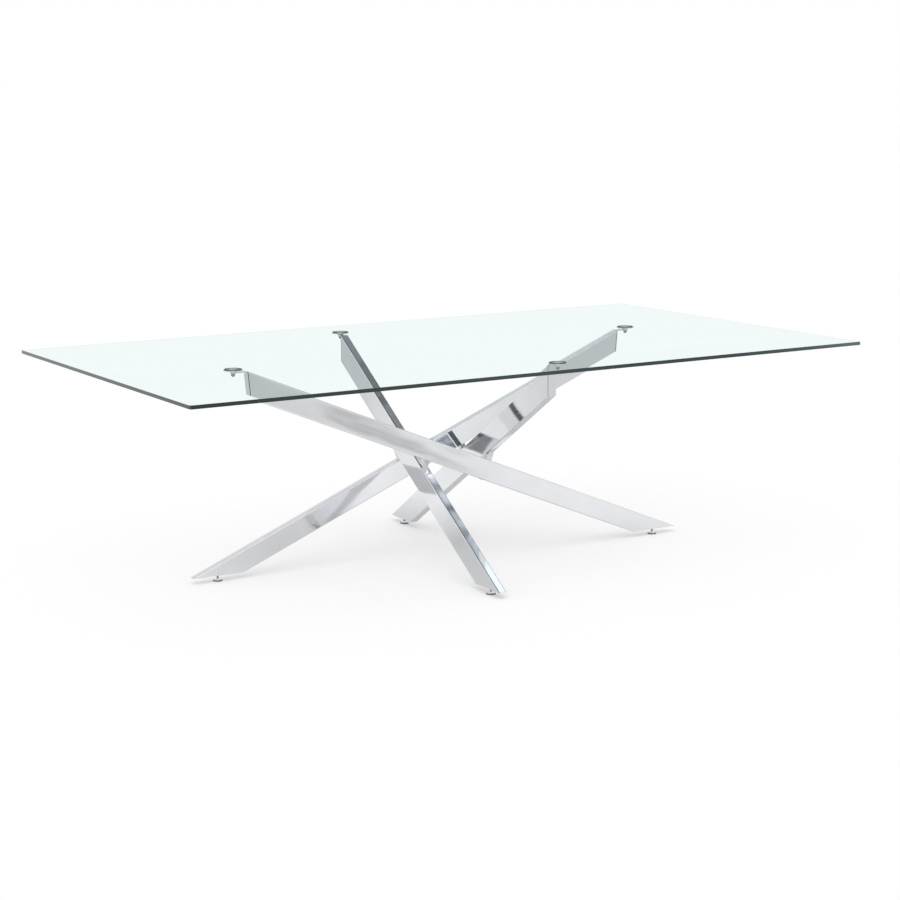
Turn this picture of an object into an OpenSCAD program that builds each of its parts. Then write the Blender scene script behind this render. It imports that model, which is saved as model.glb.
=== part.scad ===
// Glass dining table on a woven frame: four flat chromed tubes cross over and under one another like a
// hash sign, each resting on the next. Each tube slopes from a levelling foot up to a round glass support.
// Origin: on the floor, under the middle of the glass. +X runs along the length, +Z up. Millimetres.

/* [Glass top] */
// Height of the table, from the floor to the top of the glass
table_h = 750; // [620:5:900]
// Length of the glass, along X
glass_l = 2540; // [2000:10:2900]
// Width of the glass, along Y
glass_w = 1440; // [1250:10:1600]
// Thickness of the glass
glass_t = 12; // [8:1:15]
// Radius of the glass corners in plan
glass_corner_r = 10; // [6:1:40]
// Ground arris on every edge of the glass
glass_arris = 1.2; // [0.5:0.1:2]

/* [Leg tubes] */
// Height of the long tubes, across their narrow faces
long_tube_h = 72; // [60:1:90]
// Height of the short tubes, across their narrow faces
short_tube_h = 84; // [70:1:100]
// Width of all four tubes, across their wide faces
tube_w = 30; // [30:1:40]
// Wall of the tube
tube_wall = 2; // [1.5:0.1:3]
// Outside radius of the tube corners
tube_corner_r = 4; // [3:0.5:6]
// Thickness of the plates that close both ends of a tube
end_plate_t = 3; // [2:0.5:4]
// Height of the level cut at the foot of each tube
foot_cut_z = 21.2; // [21:0.2:30]

/* [Long pair of legs] */
// Support disc of a long leg, distance from the middle along X
long_support_x = 847; // [650:1:1000]
// Centre line of a long leg, distance from the middle along Y
long_leg_y = 102; // [85:1:130]
// Foot of a long leg, distance from the middle along X
long_foot_x = 830; // [640:1:960]
// From the tip of a long leg out to the middle of its support disc
long_reach = 44.5; // [38:0.5:60]
// Undercut of the upper end of a long leg, off the vertical in degrees
long_undercut = 5; // [0:0.5:8]

/* [Short pair of legs] */
// Support disc of a short leg, distance from the middle along Y
short_support_y = 552; // [450:1:650]
// Angle in plan between a short leg and the Y axis, which takes its foot farther out than its support
short_skew = 1.8; // [0:0.1:4]
// From the tip of a short leg out to the middle of its support disc
short_reach = 35.5; // [20:0.5:50]
// Undercut of the upper end of a short leg, off the vertical in degrees
short_undercut = 0; // [0:0.5:8]

/* [Glass supports] */
// Diameter of a support disc
disc_d = 64; // [54:1:70]
// Thickness of the disc at its rim
disc_rim_t = 3; // [2:0.5:4]
// Height of the whole disc, down to the seat on its arm
disc_h = 7.5; // [6:0.5:10]
// Diameter of the seat under the disc
disc_seat_d = 20; // [16:1:24]
// Diameter of the rubber pad on the disc
pad_d = 58; // [44:1:60]
// Thickness of the rubber pad
pad_t = 2; // [1:0.5:3]
// Width of the arm that carries the disc
arm_w = 20; // [18:1:22]
// Thickness of the arm
arm_t = 4; // [3:0.5:6]
// Radius of the fillet under the arm
arm_fillet_r = 5; // [3:0.5:8]
// Thread size of the studs, in the supports, the feet and the joint screws
thread_d = 8; // [8:1:10]

/* [Levelling feet] */
// Diameter of the plastic glide
glide_d = 32; // [28:1:40]
// Thickness of the plastic glide
glide_t = 4; // [3:0.5:6]
// Diameter of the steel flange over the glide
flange_d = 26; // [20:1:30]
// Thickness of the steel flange
flange_t = 2; // [1.5:0.5:3]
// Height of the hexagon over the flange
foot_hex_h = 4; // [3:0.5:5]
// Length of the stud, measured from the top of the flange
foot_stud_l = 36; // [35:1:37]
// Diameter of the pivot under the flange
pivot_d = 10; // [8:1:12]
// Height of the pivot
pivot_h = 2.2; // [1.5:0.1:2.5]

/* [Crossing blocks] */
// Upright gap between a long leg and the short leg that it crosses over
under_long_gap = 30.9; // [26:0.1:45]
// Upright gap between a short leg and the long leg that it crosses over
under_short_gap = 24.3; // [24:0.1:45]
// How far the square block stays inside the wide faces of the lower tube
block_inset = 5; // [4:0.5:6]
// Length of the joint screw under its head
screw_l = 20; // [16:1:22]
// Room round the washer in the access hole under a joint screw
access_room = 0.75; // [0.5:0.25:1.5]
// How far the rim of a snap plug laps over its access hole
plug_lap = 1.25; // [0.75:0.25:2]

/* [Hidden] */
$fn = 64;

CHROME = "gainsboro";
STEEL = "silver";
BLACK = "dimgray";

far = 3000;             // longer than any cut needs
bore_gap = 0.05;        // radial clearance of a turning fit
hole_gap = 0.3;         // radial clearance of a screw in a plain hole
seat_gap = 0.2;         // flange over its glide
plug_head_t = 0.8;      // rim of a snap plug
plug_shank_h = 5;       // depth of its shank
plug_wall = 1.5;        // wall of its shank

// Hardware, in the usual proportions to its thread
hex_af = 1.625 * thread_d;          // across the flats of the stud's hexagon and of a cap nut
nut_af = 1.75 * thread_d;           // across the flats of a weld nut
nut_h = 0.8125 * thread_d;          // height of a weld nut
washer_d = 2 * thread_d;            // outside of a washer
washer_t = 0.2 * thread_d;          // thickness of a washer
cap_hex_h = 0.6875 * thread_d;      // hexagon of a low cap nut
cap_dome_h = cap_hex_h;             // its dome
cap_dome_d = 1.55 * thread_d;       // diameter where the dome meets the hexagon
screw_head_d = 1.625 * thread_d;    // head of a socket screw
screw_head_h = thread_d;            // height of that head
socket_af = 0.75 * thread_d;        // its hexagon socket
socket_depth = thread_d / 2;        // depth of that socket
access_d = washer_d + 2 * access_room;
plug_d = access_d + 2 * plug_lap;
block_side = tube_w - 2 * block_inset;

glass_under_z = table_h - glass_t;
arm_top_z = glass_under_z - pad_t - disc_h;
flange_z = glide_t + seat_gap;
hex_z = flange_z + flange_t;

// Slope of a tube h high whose top face meets its tip, that far along and up from its centre line
function slope_to(along, rise, h) = atan2(rise, along) - asin(h / 2 / norm([along, rise]));

// The short legs lie between the long ones: both gaps give their height in the middle and their spacing
long_slope = slope_to(long_support_x + long_foot_x - long_reach, arm_top_z - foot_cut_z, long_tube_h);
short_mid_z = foot_cut_z + (long_foot_x + long_leg_y * tan(short_skew)) * tan(long_slope)
    + (under_short_gap - under_long_gap) / 2;
short_slope = slope_to(short_support_y / cos(short_skew) - short_reach, arm_top_z - short_mid_z, short_tube_h);
half_heights = long_tube_h / 2 / cos(long_slope) + short_tube_h / 2 / cos(short_slope);
short_mid_x = (half_heights + (under_long_gap + under_short_gap) / 2
    - long_leg_y * tan(short_slope) / cos(short_skew)) / tan(long_slope);
short_foot_y = (short_mid_z - foot_cut_z) / tan(short_slope) * cos(short_skew);
short_foot_x = short_mid_x + short_foot_y * tan(short_skew);
short_support_x = short_mid_x - short_support_y * tan(short_skew);

// A leg is [support x, support y, foot x, foot y, reach, undercut, tube height]
FRONT = [-long_support_x, -long_leg_y, long_foot_x, -long_leg_y, long_reach, long_undercut, long_tube_h];
LEFT = [
    -short_support_x, short_support_y, -short_foot_x, -short_foot_y, short_reach, short_undercut, short_tube_h,
];
BACK = half_turn(FRONT);
RIGHT = half_turn(LEFT);
LEGS = [FRONT, BACK, LEFT, RIGHT];
// Each crossing is [leg above, leg below]
CROSSINGS = [[FRONT, LEFT], [LEFT, BACK], [BACK, RIGHT], [RIGHT, FRONT]];

function half_turn(leg) = [-leg[0], -leg[1], -leg[2], -leg[3], leg[4], leg[5], leg[6]];
function support(leg) = [leg[0], leg[1]];
function foot(leg) = [leg[2], leg[3]];
function reach(leg) = leg[4];
function undercut(leg) = leg[5];
function height(leg) = leg[6];
function run(leg) = foot(leg) - support(leg);
function heading(leg) = atan2(run(leg)[1], run(leg)[0]);
// Tip of the leg in its own side view, as [distance from the foot, height]
function tip(leg) = [reach(leg) - norm(run(leg)), arm_top_z];
// Slope of the tube, whose centre line meets the middle of the foot cut
function slope(leg) = slope_to(-tip(leg)[0], tip(leg)[1] - foot_cut_z, height(leg));
// Plan position where the centre planes of two legs cross
function crossing(a, b) =
    let (p = run(a), q = run(b), s = support(b) - support(a))
    support(a) + p * (s[0] * q[1] - s[1] * q[0]) / (p[0] * q[1] - p[1] * q[0]);
// How far the crossing of two legs lies from the foot of the first one in plan, positive beyond the foot
function along(leg, other) = (crossing(leg, other) - foot(leg)) * run(leg) / norm(run(leg));
// Height of the underside of the upper tube over a crossing, measured from the foot cut
function underside(upper, lower) =
    -along(upper, lower) * tan(slope(upper)) - height(upper) / 2 / cos(slope(upper));
// Place along the lower tube of a screw square to it, which meets that underside right over the crossing
function screw_x(upper, lower) =
    along(lower, upper) * cos(slope(lower)) - underside(upper, lower) * sin(slope(lower));

// Upright at the foot of a leg, +X pointing from the support to the foot
module at_foot(leg) {
    translate([foot(leg)[0], foot(leg)[1], 0])
        rotate([0, 0, heading(leg)])
            children();
}

// Lying in the tube: origin where its centre line leaves the foot cut, +X down the tube, +Z square to it
module in_tube(leg) {
    at_foot(leg)
        translate([0, 0, foot_cut_z])
            rotate([0, slope(leg), 0])
                children();
}

// On the axis of a leg's support disc, at the top of its arm
module at_support(leg) {
    translate([support(leg)[0], support(leg)[1], arm_top_z])
        rotate([0, 0, heading(leg)])
            children();
}

// On the axis of a joint screw, at the top face of the lower tube
module at_screw(upper, lower) {
    in_tube(lower)
        translate([screw_x(upper, lower), 0, height(lower) / 2])
            children();
}

// Rectangle with true round corners
module round_rectangle(x, y, r) {
    square([x - 2 * r, y], center = true);
    square([x, y - 2 * r], center = true);
    for (sx = [-1, 1])
        for (sy = [-1, 1])
            translate([sx * (x / 2 - r), sy * (y / 2 - r)])
                circle(r);
}

// Endless bar with the outline of the tube, or its bore when inset by the wall
module bar(leg, inset) {
    in_tube(leg)
        translate([-far, 0, 0])
            rotate([90, 0, 90])
                linear_extrude(2 * far)
                    round_rectangle(tube_w - 2 * inset, height(leg) - 2 * inset, tube_corner_r - inset);
}

// The space between the upper end cut moved in by top_in and the foot cut moved up by foot_in
module between_cuts(leg, top_in, foot_in) {
    low = foot_cut_z + foot_in;
    high = table_h;
    lean = tan(undercut(leg));
    at_top = function (z) tip(leg)[0] + top_in + (tip(leg)[1] - z) * lean;
    at_foot(leg)
        rotate([90, 0, 0])
            linear_extrude(2 * tube_w, center = true)
                polygon([[at_top(low), low], [far, low], [far, high], [at_top(high), high]]);
}

module hexagon(af, h) {
    cylinder(d = af / cos(30), h = h, $fn = 6);
}

// Ring with its lower face at the origin
module washer() {
    difference() {
        cylinder(d = washer_d, h = washer_t);
        translate([0, 0, -1])
            cylinder(d = thread_d + 2 * hole_gap, h = washer_t + 2);
    }
}

// Slab of glass with an arris on every edge: two crossing strips and four turned corners
module glass_top() {
    a = glass_arris;
    section = function (w) [
        [-w / 2, a], [-w / 2 + a, 0], [w / 2 - a, 0], [w / 2, a],
        [w / 2, glass_t - a], [w / 2 - a, glass_t], [-w / 2 + a, glass_t], [-w / 2, glass_t - a],
    ];
    r = glass_corner_r;
    color("azure", 0.4)
        translate([0, 0, glass_under_z]) {
            rotate([90, 0, 90])
                linear_extrude(glass_l - 2 * r, center = true)
                    polygon(section(glass_w));
            rotate([90, 0, 0])
                linear_extrude(glass_w - 2 * r, center = true)
                    polygon(section(glass_l));
            for (sx = [-1, 1])
                for (sy = [-1, 1])
                    translate([sx * (glass_l / 2 - r), sy * (glass_w / 2 - r), 0])
                        rotate_extrude()
                            polygon([
                                [0, 0], [r - a, 0], [r, a],
                                [r, glass_t - a], [r - a, glass_t], [0, glass_t],
                            ]);
        }
}

// Hollow tube, cut square to the floor at its foot and almost upright at its upper end
module leg(leg) {
    color(CHROME)
        difference() {
            intersection() {
                difference() {
                    bar(leg, 0);
                    bar(leg, tube_wall);
                }
                between_cuts(leg, end_plate_t, end_plate_t);
            }
            for (c = CROSSINGS)
                if (c[1] == leg)
                    screw_holes(c[0], leg);
        }
}

// Hole for a joint screw in the top wall of the lower tube, and the access hole below it
module screw_holes(upper, lower) {
    at_screw(upper, lower) {
        translate([0, 0, -height(lower) / 2])
            cylinder(d = thread_d + 2 * hole_gap, h = height(lower));
        translate([0, 0, -1.5 * height(lower)])
            cylinder(d = access_d, h = height(lower));
    }
}

// Plate that closes the upper end, with the arm that carries the support disc
module bracket(leg) {
    color(CHROME)
        difference() {
            union() {
                intersection() {
                    bar(leg, 0);
                    difference() {
                        between_cuts(leg, 0, 0);
                        between_cuts(leg, end_plate_t, -1);
                    }
                }
                arm(leg);
            }
            at_support(leg)
                translate([0, 0, -2 * arm_t])
                    cylinder(d = thread_d + 2 * hole_gap, h = 3 * arm_t);
        }
}

// Flat arm with a round end under the disc, let into the end plate and rooted in it by a fillet
module arm(leg) {
    lean = undercut(leg);
    root = reach(leg);
    bite = end_plate_t / 2;
    fillet_x = root + (arm_t + arm_fillet_r) * tan(lean) - arm_fillet_r / cos(lean);
    fillet_z = arm_t + arm_fillet_r;
    depth = fillet_z - arm_fillet_r * sin(lean);
    at_support(leg) {
        translate([0, 0, -arm_t])
            cylinder(d = arm_w, h = arm_t);
        rotate([90, 0, 0])
            linear_extrude(arm_w, center = true)
                difference() {
                    polygon([
                        [0, 0], [root, 0], [root + bite, -bite],
                        [root + bite + depth * tan(lean), -depth],
                        [fillet_x + arm_fillet_r * cos(lean), -depth],
                        [fillet_x, -arm_t], [0, -arm_t],
                    ]);
                    translate([fillet_x, -fillet_z])
                        circle(arm_fillet_r);
                }
    }
}

// Plate that closes the foot cut, bored for the levelling stud
module foot_plate(leg) {
    color(CHROME)
        difference() {
            intersection() {
                bar(leg, 0);
                difference() {
                    between_cuts(leg, 0, 0);
                    between_cuts(leg, -height(leg), end_plate_t);
                }
            }
            at_foot(leg)
                cylinder(d = thread_d + 2 * bore_gap, h = foot_cut_z + 2 * end_plate_t);
        }
}

// Weld nuts on the inner face of the foot plates
module foot_nuts() {
    color(STEEL)
        for (leg = LEGS)
            at_foot(leg)
                translate([0, 0, foot_cut_z + end_plate_t])
                    difference() {
                        hexagon(nut_af, nut_h);
                        translate([0, 0, -1])
                            cylinder(d = thread_d + 2 * bore_gap, h = nut_h + 2);
                    }
}

// Turned disc that carries the glass: rim, dished underside, seat and threaded stud
module disc(leg) {
    r = disc_d / 2;
    edge = 0.6;
    seat_r = disc_seat_d / 2;
    stud_end = arm_t + washer_t + cap_hex_h;
    dish_r = disc_h - disc_rim_t;
    color(CHROME)
        at_support(leg)
            rotate_extrude($fn = 96)
                difference() {
                    polygon([
                        [0, -stud_end], [thread_d / 2 - edge, -stud_end], [thread_d / 2, edge - stud_end],
                        [thread_d / 2, 0], [seat_r, 0], [seat_r + dish_r, dish_r * 0.6],
                        [r - edge, disc_h - disc_rim_t], [r, disc_h - disc_rim_t + edge],
                        [r, disc_h - edge], [r - edge, disc_h], [0, disc_h],
                    ]);
                    translate([seat_r + dish_r, 0])
                        circle(dish_r * 0.6);
                }
}

// Rubber pad between the disc and the glass
module pad(leg) {
    color(BLACK)
        at_support(leg)
            translate([0, 0, disc_h])
                cylinder(d = pad_d, h = pad_t);
}

// Low cap nuts under the arms: hexagon, dome and blind bore
module cap_nuts() {
    color(CHROME)
        for (leg = LEGS)
            at_support(leg)
                translate([0, 0, -arm_t - washer_t])
                    difference() {
                        rotate([180, 0, 0]) {
                            hexagon(hex_af, cap_hex_h);
                            translate([0, 0, cap_hex_h])
                                dome(cap_dome_d, cap_dome_h);
                        }
                        translate([0, 0, -cap_hex_h - 1])
                            cylinder(d = thread_d + 2 * bore_gap, h = cap_hex_h + 2);
                    }
}

// Cap of a sphere, d across its base and h high
module dome(d, h) {
    r = (d * d / 4 + h * h) / (2 * h);
    intersection() {
        translate([0, 0, h - r])
            sphere(r);
        cylinder(d = d + 1, h = h + 1);
    }
}

module disc_washers() {
    color(STEEL)
        for (leg = LEGS)
            at_support(leg)
                translate([0, 0, -arm_t - washer_t])
                    washer();
}

// Block square to the lower tube, mitred to the slope of the upper one, which it is welded to, and
// tapped for the joint screw
module block(upper, lower) {
    color(CHROME)
        difference() {
            intersection() {
                at_screw(upper, lower)
                    translate([-block_side / 2, -block_side / 2, 0])
                        cube([block_side, block_side, tube_w + under_long_gap + under_short_gap]);
                in_tube(upper)
                    translate([-far, -far, -height(upper) / 2 - far])
                        cube([2 * far, 2 * far, far]);
            }
            at_screw(upper, lower)
                translate([0, 0, -1])
                    cylinder(d = thread_d + 2 * bore_gap, h = screw_l - tube_wall);
        }
}

// Socket screws up through the top wall of the lower tubes into the blocks
module block_screws() {
    under_head = tube_wall + washer_t;
    color(STEEL)
        for (c = CROSSINGS)
            at_screw(c[0], c[1])
                translate([0, 0, -under_head])
                    difference() {
                        union() {
                            cylinder(d = thread_d, h = screw_l);
                            translate([0, 0, -screw_head_h])
                                cylinder(d = screw_head_d, h = screw_head_h);
                        }
                        translate([0, 0, -screw_head_h - 1])
                            hexagon(socket_af, socket_depth + 1);
                    }
}

module block_washers() {
    color(STEEL)
        for (c = CROSSINGS)
            at_screw(c[0], c[1])
                translate([0, 0, -tube_wall - washer_t])
                    washer();
}

// Snap plugs in the access holes on the undersides of the tubes
module hole_plugs() {
    shank_d = access_d - 2 * bore_gap;
    color(BLACK)
        for (c = CROSSINGS)
            at_screw(c[0], c[1])
                translate([0, 0, -height(c[1])])
                    difference() {
                        union() {
                            translate([0, 0, -plug_head_t])
                                cylinder(d1 = plug_d - plug_head_t, d2 = plug_d, h = plug_head_t);
                            cylinder(d = shank_d, h = plug_shank_h);
                        }
                        cylinder(d = shank_d - 2 * plug_wall, h = plug_shank_h + 1);
                    }
}

// Levelling stud: pivot, flange, spanner hexagon and thread
module stud(leg) {
    color(STEEL)
        at_foot(leg) {
            translate([0, 0, flange_z - pivot_h])
                cylinder(d = pivot_d, h = pivot_h);
            translate([0, 0, flange_z])
                cylinder(d = flange_d, h = flange_t);
            translate([0, 0, hex_z])
                hexagon(hex_af, foot_hex_h);
            translate([0, 0, hex_z])
                cylinder(d = thread_d, h = foot_stud_l);
        }
}

// Plastic glide under a foot, with the socket that the stud's pivot turns in
module glide(leg) {
    r = glide_d / 2;
    edge = glide_t / 4;
    color(BLACK)
        at_foot(leg)
            difference() {
                rotate_extrude()
                    polygon([
                        [0, 0], [r - edge, 0], [r, edge],
                        [r, glide_t - edge], [r - edge, glide_t], [0, glide_t],
                    ]);
                translate([0, 0, glide_t - pivot_h])
                    cylinder(d = pivot_d + 2 * bore_gap, h = pivot_h + 1);
            }
}

glass_top();
leg(FRONT);  // front_leg
leg(BACK);  // back_leg
leg(LEFT);  // left_leg
leg(RIGHT);  // right_leg
bracket(FRONT);  // front_bracket
bracket(BACK);  // back_bracket
bracket(LEFT);  // left_bracket
bracket(RIGHT);  // right_bracket
foot_plate(FRONT);  // front_foot_plate
foot_plate(BACK);  // back_foot_plate
foot_plate(LEFT);  // left_foot_plate
foot_plate(RIGHT);  // right_foot_plate
foot_nuts();
disc(FRONT);  // front_disc
disc(BACK);  // back_disc
disc(LEFT);  // left_disc
disc(RIGHT);  // right_disc
pad(FRONT);  // front_pad
pad(BACK);  // back_pad
pad(LEFT);  // left_pad
pad(RIGHT);  // right_pad
cap_nuts();
disc_washers();
block(FRONT, LEFT);  // front_left_block
block(LEFT, BACK);  // left_back_block
block(BACK, RIGHT);  // back_right_block
block(RIGHT, FRONT);  // right_front_block
block_screws();
block_washers();
hole_plugs();
stud(FRONT);  // front_stud
stud(BACK);  // back_stud
stud(LEFT);  // left_stud
stud(RIGHT);  // right_stud
glide(FRONT);  // front_glide
glide(BACK);  // back_glide
glide(LEFT);  // left_glide
glide(RIGHT);  // right_glide
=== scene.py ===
"""Glass dining table on four woven chromed tubes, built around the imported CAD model. Metres throughout."""
import math

import bpy
from mathutils import Matrix, Vector


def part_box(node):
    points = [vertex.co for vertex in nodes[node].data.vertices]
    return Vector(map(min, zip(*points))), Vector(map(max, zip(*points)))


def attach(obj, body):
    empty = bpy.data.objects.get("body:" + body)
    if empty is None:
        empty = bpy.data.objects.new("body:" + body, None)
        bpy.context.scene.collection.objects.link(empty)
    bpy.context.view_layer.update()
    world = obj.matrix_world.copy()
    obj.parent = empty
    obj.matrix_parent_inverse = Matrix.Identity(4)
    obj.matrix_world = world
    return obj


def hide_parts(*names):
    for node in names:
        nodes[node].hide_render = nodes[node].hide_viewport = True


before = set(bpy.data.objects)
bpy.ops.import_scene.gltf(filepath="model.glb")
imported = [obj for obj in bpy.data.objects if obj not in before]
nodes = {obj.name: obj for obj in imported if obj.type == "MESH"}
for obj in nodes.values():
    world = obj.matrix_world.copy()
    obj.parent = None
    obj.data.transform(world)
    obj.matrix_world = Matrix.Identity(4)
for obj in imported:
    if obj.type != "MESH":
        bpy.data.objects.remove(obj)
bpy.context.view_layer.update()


# ---------------------------------------------------------------------------------------------------
# Camera: stands off the front left corner of the table, a little above the glass, with a long lens.
# It leans by less than half a degree.
camera_place = Vector((-3.6432, -6.1837, 1.7045))
camera_heading = math.radians(30.6813)
camera_drop = math.radians(10.4445)
camera_lean = math.radians(-0.4275)

ahead = Vector((
    math.sin(camera_heading) * math.cos(camera_drop),
    math.cos(camera_heading) * math.cos(camera_drop),
    -math.sin(camera_drop),
))
level_right = Vector((math.cos(camera_heading), -math.sin(camera_heading), 0))
level_up = level_right.cross(ahead)
right = math.cos(camera_lean) * level_right + math.sin(camera_lean) * level_up
up = -math.sin(camera_lean) * level_right + math.cos(camera_lean) * level_up

camera_data = bpy.data.cameras.new("studio_camera")
camera_data.sensor_width = 36
camera_data.lens = 83.298
camera_data.clip_end = 200
camera = bpy.data.objects.new("studio_camera", camera_data)
bpy.context.scene.collection.objects.link(camera)
camera.matrix_world = Matrix.Translation(camera_place) @ Matrix((right, up, -ahead)).transposed().to_4x4()
bpy.context.scene.camera = camera
bpy.context.scene.view_settings.view_transform = "Standard"


# ---------------------------------------------------------------------------------------------------
# Room: a white studio, lit softly from all round. Its dark ceiling with a ring of light panels is painted
# reflection, which only polished metal shows; the camera sees plain white, both past the table and through
# the pane.
def put(tree, value, socket):
    """Fill an input socket: a node or one of its outputs is linked, and a number or colour is set."""
    if isinstance(value, bpy.types.Node):
        value = value.outputs[0]
    if isinstance(value, bpy.types.NodeSocket):
        tree.links.new(value, socket)
    else:
        socket.default_value = value


def add_node(tree, kind, inputs=None, **settings):
    made = tree.nodes.new(kind)
    for name, value in settings.items():
        setattr(made, name, value)
    for socket, value in (inputs or {}).items():
        put(tree, value, made.inputs[socket])
    return made


def calc(tree, operation, *values):
    return add_node(tree, "ShaderNodeMath", dict(enumerate(values)), operation=operation)


def times(tree, product, *others):
    for other in others:
        product = calc(tree, "MULTIPLY", product, other)
    return product


def vector_calc(tree, operation, *values):
    return add_node(tree, "ShaderNodeVectorMath", dict(enumerate(values)), operation=operation)


def axes(tree, vector):
    return add_node(tree, "ShaderNodeSeparateXYZ", {0: vector}).outputs


def ranged(tree, value, before=(0.0, 1.0), after=(0.0, 1.0)):
    """A value carried from the range before to the range after, and held at the ends."""
    return add_node(tree, "ShaderNodeMapRange", {
        "Value": value,
        "From Min": before[0], "From Max": before[1],
        "To Min": after[0], "To Max": after[1],
    })


def shades(tree, value, steps):
    """Colours, or greys given as one number, at rising positions along a value."""
    made = add_node(tree, "ShaderNodeValToRGB", {"Fac": value})
    elements = made.color_ramp.elements
    elements.remove(elements[1])
    for number, (position, shade) in enumerate(steps):
        stop = elements.new(position) if number else elements[0]
        stop.position = position
        stop.color = (*shade, 1) if isinstance(shade, tuple) else (shade, shade, shade, 1)
    return made


def mixed(tree, share, first, second, way="MIX"):
    """The first colour where the share is 0, and the second where it is 1."""
    return add_node(tree, "ShaderNodeMixRGB", {
        "Fac": share, "Color1": first, "Color2": second,
    }, blend_type=way)


def either(tree, share, first, second):
    """The first shader where the share is 0, and the second where it is 1."""
    return add_node(tree, "ShaderNodeMixShader", {"Fac": share, 1: first, 2: second})


def rays(tree):
    """What kind of ray falls here, and 1 where it is seen: straight, in metal, or through glass."""
    path = add_node(tree, "ShaderNodeLightPath").outputs
    seen = calc(tree, "MAXIMUM", path["Is Camera Ray"], path["Is Glossy Ray"])
    return path, calc(tree, "MAXIMUM", seen, path["Is Transmission Ray"])


white = (1, 1, 1, 1)
panel_reach = (0.10, 0.35)
panel_colour = (1.20, 1.22, 1.32)
even_light = 0.74

room = bpy.data.worlds.new("white_room")
bpy.context.scene.world = room
room.use_nodes = True
tree = room.node_tree
tree.nodes.clear()
direction = axes(tree, add_node(tree, "ShaderNodeTexCoord").outputs["Generated"])
# Painted reflection, seen only in polished metal: walls darkening up to a dark ceiling with a ring of
# panels.
walls = shades(tree, direction["Z"], (
    (0.0, 0.97), (0.42, 0.80), (0.445, (0.80, 0.78, 0.79)), (0.50, (0.76, 0.74, 0.75)), (0.62, 0.30),
    (0.76, 0.12), (0.90, 0.06), (1.0, 0.07),
))
ring = shades(tree, direction["Z"], ((0.825, 0.0), (0.842, 1.0), (0.878, 1.0), (0.895, 0.0)))
panels = shades(tree, ranged(tree, direction["Y"], before=panel_reach), (
    (0.0, 1.0), (0.228, 1.0), (0.254, 0.60), (0.275, 0.12), (0.330, 0.10), (0.360, 0.72), (0.425, 0.68),
    (0.465, 0.42), (0.485, 0.16), (0.518, 0.12), (0.530, 0.50), (0.541, 0.12), (0.600, 0.10), (0.640, 0.20),
    (0.880, 0.24), (0.940, 0.56), (1.0, 0.60),
))
lit_ring = mixed(tree, 1.0, ring, vector_calc(tree, "MULTIPLY", panels, panel_colour), "MULTIPLY")
ceiling = mixed(tree, 1.0, walls, lit_ring, "LIGHTEN")
path, seen = rays(tree)
unmirrored = calc(tree, "LESS_THAN", path["Glossy Depth"], 0.5)
through_pane = times(tree, path["Is Transmission Ray"], unmirrored)
plain = calc(tree, "MAXIMUM", path["Is Camera Ray"], through_pane)
seen_room = add_node(tree, "ShaderNodeBackground", {"Color": mixed(tree, plain, ceiling, white)})
lit_room = add_node(tree, "ShaderNodeBackground", {"Color": white, "Strength": even_light})
add_node(tree, "ShaderNodeOutputWorld", {"Surface": either(tree, seen, lit_room, seen_room)})

lamp_data = bpy.data.lights.new("broad_lamp", "SUN")
lamp_data.energy = 0.95
lamp_data.angle = math.radians(60)
lamp = bpy.data.objects.new("broad_lamp", lamp_data)
lamp.rotation_euler = (math.radians(24), math.radians(-18), 0)
bpy.context.scene.collection.objects.link(lamp)


# ---------------------------------------------------------------------------------------------------
# Floor: pale and matt, and keeps the table's shadow. Where polished metal shows it, painted shade makes it
# fall off to grey away from the table and darker seen through the pane, and painted reflections of dark
# things, two soft patches and a line, lie on it towards the camera.
def new_material(name):
    material = bpy.data.materials.new(name)
    material.use_nodes = True
    material.node_tree.nodes.clear()
    return material, material.node_tree


def own_place(tree):
    return add_node(tree, "ShaderNodeTexCoord").outputs["Object"]


def distance(tree, point, middle):
    return vector_calc(tree, "DISTANCE", point, middle).outputs["Value"]


def show(tree, shader):
    add_node(tree, "ShaderNodeOutputMaterial", {"Surface": shader})


floor_half = 40
fade_reach = 4.0
dark_patch_middle = (-0.95, -1.80, 0)
dark_patch_radii = (0.34, 0.46)
dark_patch_shade = 0.30
grey_patch_middle = (-0.80, -1.07, 0)
grey_patch_radii = (0.26, 0.34)
grey_patch_shade = 0.66
dark_line_slant = -0.034
dark_line_place = -1.122
dark_line_widths = (0.02, 0.12)
dark_line_near_end = (-1.5, -2.2)
dark_line_far_end = (-3.3, -3.0)
dark_line_shade = -0.42
painted_level_in_metal = 1.08
painted_pane_shade = -0.20
floor_colour = (0.8, 0.8, 0.8)
floor_glow = 0.21

floor_mesh = bpy.data.meshes.new("floor")
floor_corners = [(x * floor_half, y * floor_half, 0) for x, y in ((-1, -1), (1, -1), (1, 1), (-1, 1))]
floor_mesh.from_pydata(floor_corners, [], [(0, 1, 2, 3)])
floor = bpy.data.objects.new("floor", floor_mesh)
bpy.context.scene.collection.objects.link(floor)

floor_paint, tree = new_material("floor_paint")
spot = own_place(tree)
# Painted shade: as seen in metal, the floor falls off with distance from the table.
away = times(tree, vector_calc(tree, "LENGTH", spot).outputs["Value"], 1 / fade_reach)
painted_falloff = shades(tree, away, (
    (0.0, 0.62), (0.13, 0.65), (0.26, 0.87), (0.40, 0.83), (0.60, 0.79), (0.75, 0.74), (1.0, 0.66),
))
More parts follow.
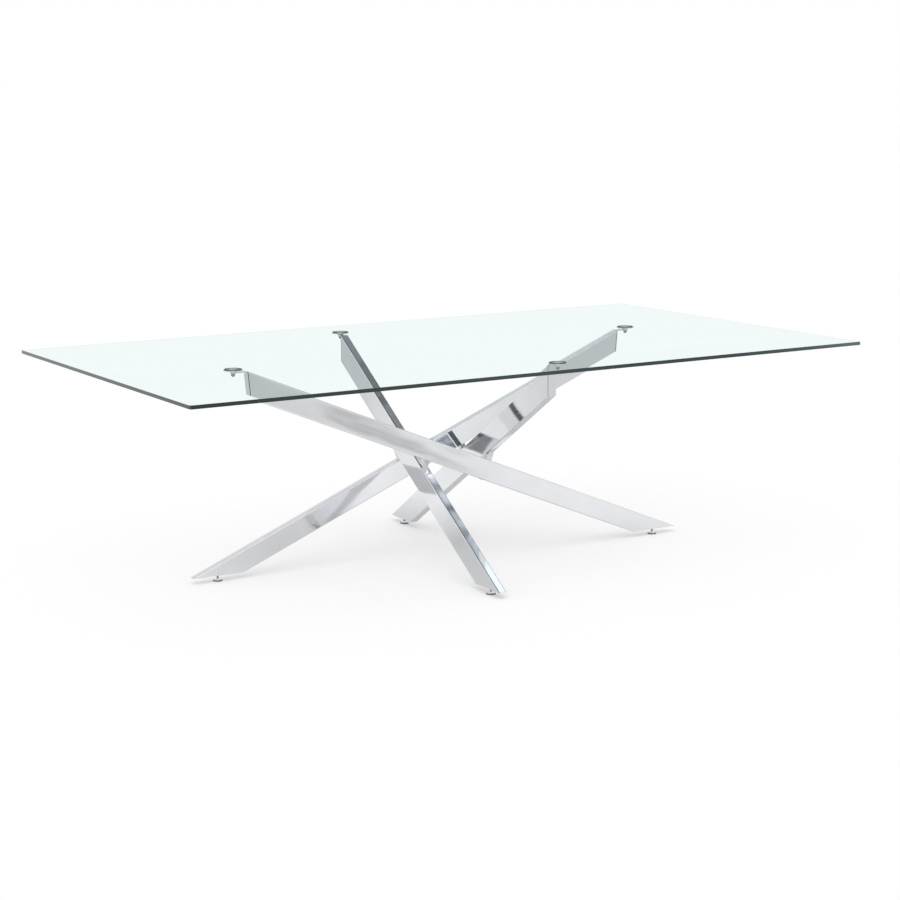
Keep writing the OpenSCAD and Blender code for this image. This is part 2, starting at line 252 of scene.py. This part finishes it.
# Painted reflections, seen only in metal: a dark patch, a grey patch and a dark line.
painted_dark_patch = ranged(tree, distance(tree, spot, dark_patch_middle), before=dark_patch_radii, after=(dark_patch_shade, 1.0))
painted_grey_patch = ranged(tree, distance(tree, spot, grey_patch_middle), before=grey_patch_radii, after=(grey_patch_shade, 1.0))
lie = axes(tree, spot)
dark_line_offset = calc(tree, "MULTIPLY_ADD", lie["Y"], dark_line_slant, dark_line_place)
beside = calc(tree, "ABSOLUTE", calc(tree, "ADD", lie["X"], dark_line_offset))
painted_dark_line = times(
    tree, ranged(tree, beside, before=dark_line_widths, after=(1.0, 0.0)),
    ranged(tree, lie["Y"], before=dark_line_near_end), ranged(tree, lie["Y"], before=dark_line_far_end))
painted_reflections = times(tree, painted_dark_patch, painted_grey_patch, calc(tree, "MULTIPLY_ADD", painted_dark_line, dark_line_shade, 1.0))
path, seen = rays(tree)
mirrored = calc(tree, "SUBTRACT", path["Is Glossy Ray"], path["Is Transmission Ray"])
mirrored = calc(tree, "MAXIMUM", mirrored, 0.0)
# Painted shade: the floor seen in metal is brightened, and darker where the ray has passed through the pane.
under_pane = calc(tree, "GREATER_THAN", path["Transmission Depth"], 0.5)
shade = calc(tree, "MULTIPLY_ADD", under_pane, painted_pane_shade, painted_level_in_metal)
painted_floor_in_metal = times(tree, times(tree, painted_falloff, painted_reflections), shade)
level = calc(tree, "MULTIPLY_ADD", calc(tree, "SUBTRACT", painted_floor_in_metal, 1.0), mirrored, 1.0)
paint = add_node(tree, "ShaderNodeVectorMath", {0: floor_colour, "Scale": level}, operation="SCALE")
matt = add_node(tree, "ShaderNodeBsdfDiffuse", {"Color": paint})
glow = add_node(tree, "ShaderNodeEmission", {
    "Color": white, "Strength": times(tree, seen, level, floor_glow),
})
show(tree, add_node(tree, "ShaderNodeAddShader", {0: matt, 1: glow}))
floor_mesh.materials.append(floor_paint)


# ---------------------------------------------------------------------------------------------------
# Leg tubes: four lengths of 30 mm wide flat steel tube, mitred at both ends, ground, polished and chromed
# all over. Rolling leaves the wide faces a little hollow and the wheel leaves the narrow ones rippled.
def middle_of(node):
    low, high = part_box(node)
    return Vector([(a + b) / 2 for a, b in zip(low, high)])


foot_cut_height = 0.0212
tube_slope = {"front": 22.2658, "back": 22.2658, "left": 31.7714, "right": 31.7714}
tube_height = {"front": 0.072, "back": 0.072, "left": 0.084, "right": 0.084}
foot_place = {leg: middle_of(f"{leg}_glide") for leg in tube_slope}
support_place = {leg: middle_of(f"{leg}_disc") for leg in tube_slope}
hollow_depth = 0.00035
wave_depth = 0.0006
ripple_depth = 0.0008
scuff_roughness = 0.18


def heading_of(leg):
    run = foot_place[leg] - support_place[leg]
    return math.atan2(run.y, run.x)


def scaled(tree, vector, scale):
    return add_node(tree, "ShaderNodeMapping", {"Vector": vector, "Scale": scale})


def noise(tree, vector, scale=1.0, detail=2.0, roughness=0.5):
    return add_node(tree, "ShaderNodeTexNoise", {
        "Vector": vector, "Scale": scale, "Detail": detail, "Roughness": roughness,
    })


def bumped(tree, height, depth, strength=1.0):
    return add_node(tree, "ShaderNodeBump", {"Strength": strength, "Distance": depth, "Height": height})


def show_metal(tree, colour, rough, bump=None):
    metal = add_node(tree, "ShaderNodeBsdfPrincipled", {
        "Metallic": 1.0, "Base Color": colour, "Roughness": rough,
    })
    if bump is not None:
        put(tree, bump, metal.inputs["Normal"])
    show(tree, metal)


def tube_chrome(leg):
    material, tree = new_material(f"{leg}_tube_chrome")
    in_tube = add_node(tree, "ShaderNodeMapping", {
        "Vector": own_place(tree),
        "Location": (foot_place[leg].x, foot_place[leg].y, foot_cut_height),
        "Rotation": (0, math.radians(tube_slope[leg]), heading_of(leg)),
    }, vector_type="TEXTURE")
    along = axes(tree, in_tube)

    up_face = calc(tree, "ABSOLUTE", times(tree, along["Z"], 2 / tube_height[leg]))
    hollow = times(tree, calc(tree, "POWER", up_face, 2.0), hollow_depth)
    waves = noise(tree, scaled(tree, in_tube, (5, 14, 14)), detail=1.0, roughness=0.4)
    wavy = calc(tree, "MULTIPLY_ADD", waves, wave_depth, hollow)
    narrow = ranged(tree, up_face, before=(0.93, 0.99))
    ripples = scaled(tree, in_tube, (9, 3, 0.1))
    ripples.inputs["Location"].default_value = (0.6, 0, 0)
    rippled = times(tree, noise(tree, ripples, detail=0.0), narrow, ripple_depth)
    bump = bumped(tree, calc(tree, "ADD", wavy, rippled), depth=1.0)

    wheel_marks = noise(tree, scaled(tree, in_tube, (3, 420, 420)), detail=3.0)
    shine = ranged(tree, wheel_marks, after=(0.02, 0.10))
    near_foot = ranged(tree, along["X"], before=(-0.22, 0.05))
    scratches = noise(tree, in_tube, scale=150.0, detail=6.0, roughness=0.7)
    scuffed = times(tree, ranged(tree, scratches, before=(0.60, 0.72)), near_foot)
    rough = calc(tree, "MULTIPLY_ADD", scuffed, scuff_roughness, shine)
    plating = shades(tree, noise(tree, in_tube, scale=7.0, detail=4.0), (
        (0.30, (0.84, 0.85, 0.87)), (0.70, (0.885, 0.895, 0.92)),
    ))
    show_metal(tree, plating, rough, bump)
    return material


def dress(node_name, material):
    mesh = nodes[node_name].data
    if not mesh.materials:
        mesh.materials.append(material)
    for slot in range(len(mesh.materials)):
        mesh.materials[slot] = material


for leg in tube_slope:
    dress(f"{leg}_leg", tube_chrome(leg))


# ---------------------------------------------------------------------------------------------------
# Foot plates and upper brackets: 3 mm steel plates welded over both ends of each tube and ground flush.
# The upper one carries the flat arm for the glass support. Chromed with the tube.
arm_underside = 0.724
edge_limit = 0.3
dark_edge_colour = (0.13, 0.135, 0.14, 1)


def plate_chrome(name, dull, cloud, outward=None, tone=1.0):
    """Chrome over belt marks. Round a plate that faces outward, its sideways edge below the arm is painted
    darker.
    """
    material, tree = new_material(name)
    place = own_place(tree)
    belt_marks = noise(tree, scaled(tree, place, (60, 60, 900)), detail=3.0)
    shine = ranged(tree, belt_marks, after=(dull * 0.5, dull * 1.6))
    bump = bumped(tree, noise(tree, place, scale=cloud, detail=1.0), depth=0.0004)
    plating = shades(tree, belt_marks, (
        (0.25, (0.80 * tone, 0.81 * tone, 0.82 * tone)), (0.75, (0.88 * tone, 0.89 * tone, 0.90 * tone)),
    ))
    if outward is not None:
        normal = add_node(tree, "ShaderNodeNewGeometry").outputs["Normal"]
        facing_out = vector_calc(tree, "DOT_PRODUCT", normal, outward).outputs["Value"]
        on_edge = calc(tree, "LESS_THAN", calc(tree, "ABSOLUTE", facing_out), edge_limit)
        below_arm = calc(tree, "LESS_THAN", axes(tree, place)["Z"], arm_underside)
        # Painted darker: the plate's sideways edge below the arm.
        plating = mixed(tree, times(tree, on_edge, below_arm), plating, dark_edge_colour)
    show_metal(tree, plating, shine, bump)
    return material


foot_plate_chrome = plate_chrome("foot_plate_chrome", dull=0.09, cloud=40.0)
for leg in tube_slope:
    dress(f"{leg}_foot_plate", foot_plate_chrome)
    outward = (math.cos(heading_of(leg)), math.sin(heading_of(leg)), 0)
    bracket_chrome = plate_chrome(f"{leg}_bracket_chrome", dull=0.09, cloud=40.0, outward=outward)
    dress(f"{leg}_bracket", bracket_chrome)


# ---------------------------------------------------------------------------------------------------
# Weld nuts: M8 nuts projection-welded inside the tubes on the foot plates, before the plates go on.
# Bare steel, blued by the heat where they meet the plate.
blued_heights = (0.0242, 0.0290)
heat_wander = 0.002
bare_steel, tree = new_material("bare_steel")
place = own_place(tree)
mill = noise(tree, place, scale=700.0, detail=4.0)
height = calc(tree, "MULTIPLY_ADD", mill, heat_wander, axes(tree, place)["Z"])
colour = shades(tree, ranged(tree, height, before=blued_heights), (
    (0.0, (0.10, 0.12, 0.22)), (0.35, (0.34, 0.24, 0.14)), (1.0, (0.42, 0.42, 0.43)),
))
show_metal(tree, colour, ranged(tree, mill, after=(0.30, 0.55)))
dress("foot_nuts", bare_steel)


# ---------------------------------------------------------------------------------------------------
# Crossing blocks: 20 mm square bar, cut square on the lower tube and to a slope under the upper one,
# tapped M8 and welded to the upper tube before chroming.
# Painted shade: the blocks' chrome is toned darker than the tubes', for the shade between the crossing
# tubes.
block_chrome_painted_shade = plate_chrome("block_chrome_painted_shade", dull=0.26, cloud=90.0, tone=0.88)
for name in ("front_left_block", "left_back_block", "back_right_block", "right_front_block"):
    dress(name, block_chrome_painted_shade)


# ---------------------------------------------------------------------------------------------------
# Joint screws and washers: M8 socket screws with plain washers, up through the top wall of the lower
# tube into each block. Zinc plated and blue passivated, with the faint rainbow that leaves.
screw_zinc, tree = new_material("screw_zinc")
place = own_place(tree)
spangle = noise(tree, place, scale=420.0, detail=5.0, roughness=0.6)
colour = shades(tree, noise(tree, place, scale=84.0), (
    (0.25, (0.570, 0.608, 0.684)), (0.50, (0.646, 0.6555, 0.665)), (0.75, (0.684, 0.665, 0.589)),
))
bump = bumped(tree, spangle, depth=0.00008, strength=0.5)
show_metal(tree, colour, ranged(tree, spangle, after=(0.20, 0.45)), bump)
for name in ("block_screws", "block_washers", "disc_washers"):
    dress(name, screw_zinc)


# ---------------------------------------------------------------------------------------------------
# Snap plugs: moulded grey plastic, one pressed into the access hole under each joint screw.
# Fine spark texture from the mould, shinier and duller in patches.
def moulded(name, dark, pale, grain, rim=None):
    """Moulded plastic or rubber. A rim is its middle, the two radii it darkens between, and the colour of
    that painted shade.
    """
    material, tree = new_material(name)
    place = own_place(tree)
    spark = noise(tree, place, scale=grain, detail=3.0, roughness=0.6)
    flow = noise(tree, place, scale=grain * 0.06, detail=3.0)
    colour = shades(tree, flow, ((0.25, dark), (0.75, pale)))
    if rim is not None:
        middle, radii, rim_shade_colour = rim
        # Painted shade round the rim.
        in_rim_shade = ranged(tree, distance(tree, place, middle), before=radii)
        colour = mixed(tree, in_rim_shade, colour, rim_shade_colour)
    body = add_node(tree, "ShaderNodeBsdfPrincipled", {
        "Base Color": colour,
        "Roughness": ranged(tree, flow, before=(0.3, 0.7), after=(0.35, 0.55)),
        "Normal": bumped(tree, spark, depth=0.00006, strength=0.6),
    })
    show(tree, body)
    return material


plug_plastic = moulded("plug_plastic", dark=(0.30, 0.31, 0.32), pale=(0.38, 0.39, 0.40), grain=2200.0)
dress("hole_plugs", plug_plastic)


# ---------------------------------------------------------------------------------------------------
# Support discs: turned from 64 mm steel bar with a dished underside and an integral M8 stud, polished
# and chromed. The lathe leaves fine rings round the stud's axis.
for leg in tube_slope:
    disc_chrome, tree = new_material(f"{leg}_disc_chrome")
    place = own_place(tree)
    centred = add_node(tree, "ShaderNodeMapping", {
        "Vector": place, "Location": (support_place[leg].x, support_place[leg].y, 0),
    }, vector_type="TEXTURE")
    rings = add_node(tree, "ShaderNodeTexWave", {
        "Vector": centred, "Scale": 420.0, "Distortion": 1.5, "Detail": 2.0,
    }, wave_type="RINGS", rings_direction="Z").outputs["Fac"]
    plating = shades(tree, noise(tree, place, scale=60.0, detail=3.0), (
        (0.30, (0.80, 0.81, 0.82)), (0.70, (0.87, 0.88, 0.89)),
    ))
    bump = bumped(tree, rings, depth=0.00003, strength=0.35)
    show_metal(tree, plating, ranged(tree, rings, after=(0.05, 0.16)), bump)
    dress(f"{leg}_disc", disc_chrome)


# ---------------------------------------------------------------------------------------------------
# Cap nuts: low M8 cap nuts under the arms, chromed. A hexagon with a small chamfer at its corners and a
# shallow dome, each drawn up against a washer on the stud of its disc.
def new_shape(name, sizes):
    """A geometry tree with an input for each size, and the outputs and inputs at its two ends."""
    tree = bpy.data.node_groups.new(name, "GeometryNodeTree")
    for label, value in sizes.items():
        kind = "NodeSocketVector" if isinstance(value, tuple) else "NodeSocketFloat"
        tree.interface.new_socket(label, in_out="INPUT", socket_type=kind)
    tree.interface.new_socket("Geometry", in_out="OUTPUT", socket_type="NodeSocketGeometry")
    return tree, tree.nodes.new("NodeGroupInput").outputs, tree.nodes.new("NodeGroupOutput").inputs


def point_now(tree):
    return tree.nodes.new("GeometryNodeInputPosition")


def vector_of(tree, x=0.0, y=0.0, z=0.0):
    return add_node(tree, "ShaderNodeCombineXYZ", {"X": x, "Y": y, "Z": z})


def moved(tree, shape, position):
    return add_node(tree, "GeometryNodeSetPosition", {"Geometry": shape, "Position": position})


def joined(tree, *parts):
    together = add_node(tree, "GeometryNodeJoinGeometry")
    for part in parts:
        put(tree, part, together.inputs[0])
    return together


def bar_stock(tree, low, high, corners, steps):
    """Plain bar along Z; the angle, height and end distance of its points; and the lift it still needs."""
    length = calc(tree, "SUBTRACT", high, low)
    stock = add_node(tree, "GeometryNodeMeshCylinder", {
        "Vertices": corners, "Side Segments": steps, "Depth": length,
    }, fill_type="NGON")
    now = axes(tree, point_now(tree))
    angle = calc(tree, "ARCTAN2", now["Y"], now["X"])
    half = times(tree, length, 0.5)
    to_end = calc(tree, "SUBTRACT", half, calc(tree, "ABSOLUTE", now["Z"]))
    lift = calc(tree, "ADD", low, half)
    return stock, angle, now["Z"], to_end, lift


def turned(tree, stock, radius, angle, height):
    across = times(tree, radius, calc(tree, "COSINE", angle))
    back = times(tree, radius, calc(tree, "SINE", angle))
    return moved(tree, stock, vector_of(tree, across, back, height))


def bar_between(tree, low, high, corners, radius_at):
    """Bar standing on Z between two heights; radius_at gives its radius from angle and end distance."""
    stock, angle, height, to_end, lift = bar_stock(tree, low, high, corners, steps=16)
    return turned(tree, stock, radius_at(angle, to_end), angle, calc(tree, "ADD", height, lift))


def hexagon_between(tree, across_flats, low, high):
    """Bar with six flats, its corners chamfered at 30 degrees to the ends from just outside the flats."""
    chamfer_start = times(tree, across_flats, 0.51)
    chamfer_rise = math.sqrt(3)

    def radius_at(angle, to_end):
        in_side = calc(tree, "SUBTRACT", calc(tree, "FLOORED_MODULO", angle, math.pi / 3), math.pi / 6)
        flat = calc(tree, "DIVIDE", times(tree, across_flats, 0.5), calc(tree, "COSINE", in_side))
        cone = calc(tree, "MULTIPLY_ADD", to_end, chamfer_rise, chamfer_start)
        return calc(tree, "MINIMUM", flat, cone)

    return bar_between(tree, low, high, corners=48, radius_at=radius_at)


crease_angle = math.radians(25)


def finish_shape(tree, shape, made, material=None, turn=0.0, place=(0, 0, 0)):
    """The shape turned and placed, creased at its edges, and led out of the tree."""
    put_there = add_node(tree, "GeometryNodeTransform", {
        "Geometry": shape, "Rotation": vector_of(tree, z=turn), "Translation": place,
    })
    bend = tree.nodes.new("GeometryNodeInputMeshEdgeAngle").outputs["Unsigned Angle"]
    sharp = add_node(tree, "FunctionNodeCompare", {
        "A": bend, "B": crease_angle,
    }, operation="GREATER_THAN", data_type="FLOAT")
    creases = add_node(tree, "GeometryNodeSetShadeSmooth", {
        "Geometry": put_there, "Selection": sharp, "Shade Smooth": False,
    }, domain="EDGE")
    finished = add_node(tree, "GeometryNodeRealizeInstances", {0: creases})
    if material is not None:
        finished = add_node(tree, "GeometryNodeSetMaterial", {"Geometry": finished, "Material": material})
    put(tree, finished, made["Geometry"])


def grow(name, tree, sizes):
    """The shape at its sizes, as a plain mesh."""
    piece = bpy.data.objects.new(name, bpy.data.meshes.new(name))
    bpy.context.scene.collection.objects.link(piece)
    modifier = piece.modifiers.new("shape", "NODES")
    modifier.node_group = tree
    for item in tree.interface.items_tree:
        if item.in_out == "INPUT":
            modifier[item.identifier] = sizes[item.name]
    depsgraph = bpy.context.evaluated_depsgraph_get()
    made = bpy.data.meshes.new_from_object(
        piece.evaluated_get(depsgraph), preserve_all_data_layers=True, depsgraph=depsgraph)
    piece.modifiers.remove(modifier)
    piece.data = made
    return piece


nut_sizes = {
    "Across Flats": 0.0130, "Hexagon Top": 0.7229, "Hexagon Bottom": 0.7174,
    "Dome Radius": 0.006245, "Dome Bottom": 0.7119, "Dome Overlap": 0.0004,
    "Front Place": (support_place["front"].x, support_place["front"].y, 0),
    "Left Place": (support_place["left"].x, support_place["left"].y, 0),
}
# Painted shade: the nuts' chrome is toned far darker than the tubes', for the shade under the arms.
nut_chrome_painted_shade = plate_chrome("nut_chrome_painted_shade", dull=0.10, cloud=160.0, tone=0.45)
tree, size, made = new_shape("cap_nut_set", nut_sizes)
hexagon = hexagon_between(tree, size["Across Flats"], size["Hexagon Bottom"], size["Hexagon Top"])
ball = add_node(tree, "GeometryNodeMeshUVSphere", {
    "Segments": 48, "Rings": 32, "Radius": size["Dome Radius"],
})
now = axes(tree, point_now(tree))
centre = calc(tree, "ADD", size["Dome Bottom"], size["Dome Radius"])
cut = calc(tree, "ADD", size["Hexagon Bottom"], size["Dome Overlap"])
height = calc(tree, "MINIMUM", calc(tree, "ADD", now["Z"], centre), cut)
dome = moved(tree, ball, vector_of(tree, now["X"], now["Y"], height))
which = add_node(tree, "GeometryNodeIndexSwitch", data_type="VECTOR")
which.index_switch_items.new()
which.index_switch_items.new()
put(tree, tree.nodes.new("GeometryNodeInputIndex"), which.inputs["Index"])
for number, (corner, side) in enumerate((("Front", 1), ("Front", -1), ("Left", 1), ("Left", -1))):
    opposite = vector_calc(tree, "MULTIPLY", size[f"{corner} Place"], (side, side, 1))
    put(tree, opposite, which.inputs[str(number)])
spots = moved(tree, add_node(tree, "GeometryNodeMeshLine", {"Count": 4}), which)
nuts = add_node(tree, "GeometryNodeInstanceOnPoints", {
    "Points": spots, "Instance": joined(tree, hexagon, dome),
})
real_nuts = add_node(tree, "GeometryNodeRealizeInstances", {0: nuts})
finish_shape(tree, real_nuts, made, nut_chrome_painted_shade)
cap_nuts = grow("chromed_cap_nuts", tree, nut_sizes)
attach(cap_nuts, "base")
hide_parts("cap_nuts")


# ---------------------------------------------------------------------------------------------------
# Rubber pads: 2 mm of soft grey rubber stuck on each disc, so that the glass grips and doesn't chip.
# Painted shade darkens them round the rim; in the middle they are clouded with talc from the mould.
# Painted shade round each pad's rim: its radii and colour.
pad_shade_radii = (0.012, 0.023)
pad_shade_colour = (0.12, 0.125, 0.125, 1)
for leg in tube_slope:
    pad_rim_shade = (tuple(middle_of(f"{leg}_pad")), pad_shade_radii, pad_shade_colour)
    pad_rubber = moulded(
        f"{leg}_pad_rubber", dark=(0.46, 0.47, 0.47), pale=(0.60, 0.61, 0.61), grain=1500.0, rim=pad_rim_shade)
    dress(f"{leg}_pad", pad_rubber)


# ---------------------------------------------------------------------------------------------------
# Levelling studs: M8 studs with a spanner hexagon and a flange, swaged onto the glide by a pivot below.
# Zinc plated steel, rolled thread of 1.25 mm pitch, darker towards the thread's root, in patches.
root_dark_patches = 0.3
stud_zinc, tree = new_material("stud_zinc")
spangle = noise(tree, own_place(tree), scale=600.0, detail=4.0)
root = add_node(tree, "ShaderNodeAttribute", attribute_name="root_depth").outputs["Fac"]
# Darker towards the thread's root, in patches.
root_darkness = calc(tree, "MULTIPLY_ADD", spangle, root_dark_patches, root)
colour = shades(tree, root_darkness, (
    (0.15, (0.90, 0.91, 0.93)), (0.60, (0.62, 0.62, 0.62)), (1.0, (0.16, 0.15, 0.14)),
))
show_metal(tree, colour, ranged(tree, spangle, after=(0.12, 0.30)))

stud_sizes = {
    "Pivot Radius": 0.0050, "Pivot Bottom": 0.0020, "Flange Radius": 0.0130, "Flange Bottom": 0.0042,
    "Flange Chamfer": 0.0004, "Across Flats": 0.0130, "Hexagon Bottom": 0.0062, "Thread Radius": 0.0040,
    "Thread Bottom": 0.0102, "Thread Top": 0.0422, "Pitch": 0.00125, "Thread Depth": 0.00070,
    "Turn": 0.0, "Place": (0.0, 0.0, 0.0),
}
thread_corners = 36
steps_in_pitch = 8.0
groove_slope = 1.25
groove_land = 0.125
tree, size, made = new_shape("levelling_stud", stud_sizes)


def flange_radius_at(angle, to_end):
    at_end = calc(tree, "SUBTRACT", size["Flange Radius"], size["Flange Chamfer"])
    return calc(tree, "MINIMUM", size["Flange Radius"], calc(tree, "ADD", at_end, to_end))


pivot = bar_between(
    tree, size["Pivot Bottom"], size["Flange Bottom"], corners=48,
    radius_at=lambda angle, to_end: size["Pivot Radius"])
flange = bar_between(
    tree, size["Flange Bottom"], size["Hexagon Bottom"], corners=64, radius_at=flange_radius_at)
hexagon = hexagon_between(tree, size["Across Flats"], size["Hexagon Bottom"], size["Thread Bottom"])

length = calc(tree, "SUBTRACT", size["Thread Top"], size["Thread Bottom"])
steps = times(tree, calc(tree, "DIVIDE", length, size["Pitch"]), steps_in_pitch)
stock, angle, height, to_end, lift = bar_stock(
    tree, size["Thread Bottom"], size["Thread Top"], thread_corners, steps)
around = calc(tree, "DIVIDE", angle, 2 * math.pi)
risen = calc(tree, "SUBTRACT", calc(tree, "DIVIDE", height, size["Pitch"]), around)
saw = calc(tree, "SUBTRACT", times(tree, calc(tree, "FRACT", risen), 2.0), 1.0)
groove = calc(tree, "SUBTRACT", times(tree, calc(tree, "ABSOLUTE", saw), groove_slope), groove_land)
groove = calc(tree, "MINIMUM", calc(tree, "MAXIMUM", groove, 0.0), 1.0)
cut_in = calc(tree, "SUBTRACT", size["Thread Radius"], times(tree, groove, size["Thread Depth"]))
root_radius = calc(tree, "SUBTRACT", size["Thread Radius"], size["Thread Depth"])
radius = calc(tree, "MINIMUM", cut_in, calc(tree, "ADD", root_radius, to_end))
marked = add_node(tree, "GeometryNodeStoreNamedAttribute", {
    "Name": "root_depth", "Geometry": stock, "Value": groove,
}, data_type="FLOAT", domain="POINT")
thread = turned(tree, marked, radius, angle, calc(tree, "ADD", height, lift))
whole_stud = joined(tree, pivot, flange, hexagon, thread)
finish_shape(tree, whole_stud, made, stud_zinc, size["Turn"], size["Place"])
for leg in tube_slope:
    stud_sizes["Turn"] = heading_of(leg)
    stud_sizes["Place"] = (foot_place[leg].x, foot_place[leg].y, 0)
    stud = grow(f"{leg}_levelling_stud", tree, stud_sizes)
    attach(stud, f"{leg}_stud")
    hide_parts(f"{leg}_stud")


# ---------------------------------------------------------------------------------------------------
# Glides: moulded grey nylon feet that the studs turn in, 32 mm across and 4 mm thick.
# Fine mould texture, with paler and darker clouds.
glide_nylon = moulded("glide_nylon", dark=(0.15, 0.15, 0.16), pale=(0.25, 0.25, 0.26), grain=1800.0)
for leg in tube_slope:
    dress(f"{leg}_glide", glide_nylon)


# ---------------------------------------------------------------------------------------------------
# Glass: one 12 mm float glass pane, ground and polished on every edge with a small arris, its corners
# just rounded. Faintly green through its faces, and dark green-blue where the edge is looked into.
pane_sizes = {
    "Length": 2.540, "Width": 1.440, "Thickness": 0.012, "Corner Radius": 0.010, "Arris": 0.0012,
    "Underside": 0.738,
}
glass_ior = 1.52
mirror_share = 0.08
end_limit = 0.6
light_let_through = (0.958, 0.958, 0.958, 1)
edge_let_through = (0.90, 0.925, 0.925, 1)

pane_face, tree = new_material("pane_face")
drawn = noise(tree, scaled(tree, own_place(tree), (0.6, 9.0, 0.1)))
tint = shades(tree, drawn, ((0.3, (0.941, 0.980, 0.976)), (0.7, (0.949, 0.985, 0.982))))
bend = add_node(tree, "ShaderNodeBsdfRefraction", {"IOR": glass_ior, "Roughness": 0.0, "Color": tint})
gloss = add_node(tree, "ShaderNodeBsdfGlossy", {"Roughness": 0.0})
facing = add_node(tree, "ShaderNodeFresnel", {"IOR": glass_ior})
face = either(tree, times(tree, facing, mirror_share), bend, gloss)
path = add_node(tree, "ShaderNodeLightPath").outputs
soft_light = calc(tree, "MAXIMUM", path["Is Shadow Ray"], path["Is Diffuse Ray"])
lets_through = add_node(tree, "ShaderNodeBsdfTransparent", {"Color": light_let_through})
show(tree, either(tree, soft_light, face, lets_through))

pane_edge, tree = new_material("pane_edge")
place = own_place(tree)
across = axes(tree, place)
lengthways = calc(tree, "MULTIPLY_ADD", across["X"], 1 / pane_sizes["Length"], 0.5)
# Painted light: the long edges grow lighter along the pane.
long_edge_painted_light = shades(tree, lengthways, (
    (0.0, (0.021, 0.034, 0.037)), (0.30, (0.035, 0.051, 0.055)), (0.45, (0.046, 0.066, 0.075)),
    (0.60, (0.034, 0.052, 0.058)), (0.78, (0.036, 0.054, 0.060)), (0.90, (0.064, 0.083, 0.095)),
    (1.0, (0.120, 0.160, 0.160)),
))
surface = add_node(tree, "ShaderNodeNewGeometry").outputs
along = calc(tree, "ABSOLUTE", axes(tree, surface["Normal"])["X"])
at_end = calc(tree, "GREATER_THAN", along, end_limit)
wheel_lines = noise(tree, scaled(tree, place, (9, 9, 2600)))
# Painted light: the ends are lighter than the long edges.
end_colour = shades(tree, wheel_lines, ((0.3, (0.110, 0.140, 0.150)), (0.7, (0.190, 0.225, 0.235))))
crossways = calc(tree, "MULTIPLY_ADD", across["Y"], 1 / pane_sizes["Width"], 0.5)
# Painted light: each end grows lighter across the pane.
end_painted_light = mixed(tree, 1.0, end_colour, shades(tree, crossways, ((0.0, 0.60), (1.0, 1.15))), "MULTIPLY")
rim = add_node(tree, "ShaderNodeBsdfPrincipled", {
    "Specular IOR Level": 0.35,
    "Base Color": mixed(tree, at_end, long_edge_painted_light, end_painted_light),
    "Roughness": ranged(tree, wheel_lines, after=(0.06, 0.16)),
})
clear = add_node(tree, "ShaderNodeBsdfTransparent", {"Color": edge_let_through})
show(tree, either(tree, surface["Backfacing"], rim, clear))

tree, size, made = new_shape("rounded_pane", pane_sizes)
both_sides = times(tree, size["Arris"], 2.0)
outline = add_node(tree, "GeometryNodeCurvePrimitiveQuadrilateral", {
    "Width": calc(tree, "SUBTRACT", size["Length"], both_sides),
    "Height": calc(tree, "SUBTRACT", size["Width"], both_sides),
})
rounded = add_node(tree, "GeometryNodeFilletCurve", {
    "Count": 12, "Curve": outline, "Radius": calc(tree, "SUBTRACT", size["Corner Radius"], size["Arris"]),
}, mode="POLY")
sheet = add_node(tree, "GeometryNodeFillCurve", {0: rounded}, mode="NGONS")
underside = add_node(tree, "GeometryNodeTransform", {
    "Geometry": sheet, "Translation": vector_of(tree, z=size["Underside"]),
})

inward = times(tree, size["Corner Radius"], -1.0)
corner = vector_of(
    tree, calc(tree, "MULTIPLY_ADD", size["Length"], 0.5, inward),
    calc(tree, "MULTIPLY_ADD", size["Width"], 0.5, inward))
far_corner = vector_calc(tree, "MULTIPLY", corner, (-1, -1, -1))
spot = vector_calc(tree, "MULTIPLY", point_now(tree), (1, 1, 0))
kept = vector_calc(tree, "MINIMUM", vector_calc(tree, "MAXIMUM", spot, far_corner), corner)
outward = vector_calc(tree, "NORMALIZE", vector_calc(tree, "SUBTRACT", spot, kept))


def drawn_up(below, rise, spread):
    """The sheet drawn up by a rise, its outline spread outwards or inwards on the way."""
    pulled = add_node(tree, "GeometryNodeExtrudeMesh", {
        "Individual": False, "Mesh": below, "Offset": vector_of(tree, z=rise),
    }, mode="FACES")
    top = pulled.outputs["Top"]
    side = add_node(tree, "ShaderNodeVectorMath", {0: outward, "Scale": spread}, operation="SCALE")
    spread_out = add_node(tree, "GeometryNodeSetPosition", {
        "Geometry": pulled, "Selection": top, "Offset": side,
    })
    apart = add_node(tree, "GeometryNodeSeparateGeometry", {0: spread_out, "Selection": top}, domain="FACE")
    return apart.outputs["Selection"], apart.outputs["Inverted"]


upright = calc(tree, "SUBTRACT", size["Thickness"], both_sides)
low_top, low_arris = drawn_up(underside, size["Arris"], size["Arris"])
high_top, ground_edge = drawn_up(low_top, upright, 0.0)
top_face, high_arris = drawn_up(high_top, size["Arris"], times(tree, size["Arris"], -1.0))
bottom_face = add_node(tree, "GeometryNodeFlipFaces", {0: underside})
rims = joined(tree, low_arris, ground_edge, high_arris)
polished = add_node(tree, "GeometryNodeSetMaterial", {"Geometry": rims, "Material": pane_edge})
floated = joined(tree, top_face, bottom_face)
clear_faces = add_node(tree, "GeometryNodeSetMaterial", {"Geometry": floated, "Material": pane_face})
welded = add_node(tree, "GeometryNodeMergeByDistance", {
    "Geometry": joined(tree, clear_faces, polished), "Distance": 0.00001,
})
finish_shape(tree, welded, made)
pane = grow("glass_pane", tree, pane_sizes)
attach(pane, "glass")
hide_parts("glass_top")
